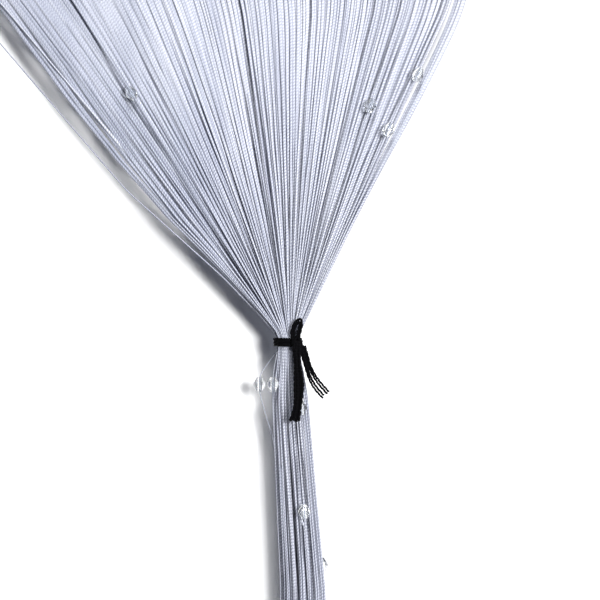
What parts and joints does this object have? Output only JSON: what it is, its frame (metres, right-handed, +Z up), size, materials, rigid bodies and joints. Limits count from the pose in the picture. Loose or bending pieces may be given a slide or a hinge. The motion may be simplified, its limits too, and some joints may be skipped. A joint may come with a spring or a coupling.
{
  "type": "string curtain with a cord tie",
  "caption": "String curtain on a woven heading: flat knitted strings with clear faceted beads, drawn to one side and held in a bundle by a black cord tie.",
  "frame": {"origin": "middle of the heading's top edge, where the curtain is held", "axes": "+X to the viewer's right along the heading, +Y from the front to the back, +Z up"},
  "size_m": [1, 0.0489, 2.0036],
  "materials": {
    "heading": "matt woven tape",
    "strings": "silvery knitted yarn with a soft sheen",
    "beads": "clear, faceted and polished",
    "tie": "matt black chain-stitched cord"
  },
  "bodies": {
    "root": {"heading": "heading", "strings": "strings", "tie": "tie", "tie_end_straight_1": "tie", "tie_end_straight_2": "tie", "tie_end_straight_3": "tie", "tie_end_straight_4": "tie", "tie_end_splayed_1": "tie", "tie_end_splayed_2": "tie", "tie_end_splayed_3": "tie", "tie_end_splayed_4": "tie", "bead_01": "beads", "bead_02": "beads", "bead_03": "beads", "bead_04": "beads", "bead_05": "beads", "bead_06": "beads", "bead_07": "beads", "bead_08": "beads", "bead_09": "beads", "bead_10": "beads", "bead_11": "beads", "bead_12": "beads", "bead_13": "beads", "bead_14": "beads", "bead_15": "beads", "bead_16": "beads", "bead_17": "beads", "bead_18": "beads", "bead_19": "beads", "bead_20": "beads", "bead_21": "beads", "bead_22": "beads", "bead_23": "beads", "bead_24": "beads", "bead_25": "beads", "bead_26": "beads", "bead_27": "beads", "bead_28": "beads", "bead_29": "beads", "bead_30": "beads", "bead_31": "beads", "bead_32": "beads", "bead_33": "beads", "bead_34": "beads", "bead_35": "beads", "bead_36": "beads", "bead_37": "beads", "bead_38": "beads", "bead_39": "beads", "bead_40": "beads", "bead_41": "beads", "bead_42": "beads", "bead_43": "beads", "bead_44": "beads", "bead_45": "beads", "bead_46": "beads", "bead_47": "beads"}
  },
  "joints": []
}
